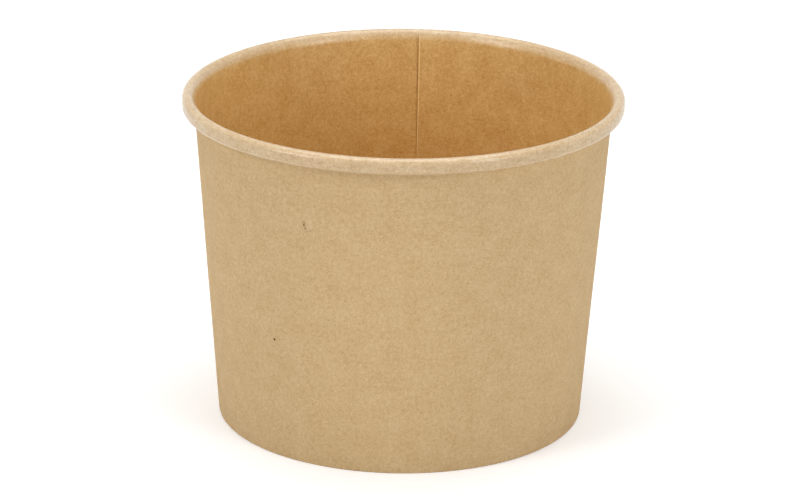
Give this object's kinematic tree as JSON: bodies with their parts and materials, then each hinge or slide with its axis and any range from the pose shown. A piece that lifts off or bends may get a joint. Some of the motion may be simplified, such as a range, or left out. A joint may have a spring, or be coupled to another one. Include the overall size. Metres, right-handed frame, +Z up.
{
  "type": "soup cup",
  "caption": "Round tapered soup cup of kraft board with a rolled rim, a lapped side seam and a recessed base disc held in a folded foot.",
  "frame": {"origin": "centre of the foot, on the surface that the cup stands on", "axes": "+Z up along the cup's axis, +Y towards the lap seam, +X to the right of the seam seen from outside the front"},
  "size_m": [0.098, 0.098, 0.0745],
  "materials": {
    "kraft_wall": "matte",
    "kraft_base": "matte"
  },
  "bodies": {
    "root": {"side_wall": "kraft_wall", "base_disc": "kraft_base"}
  },
  "joints": []
}
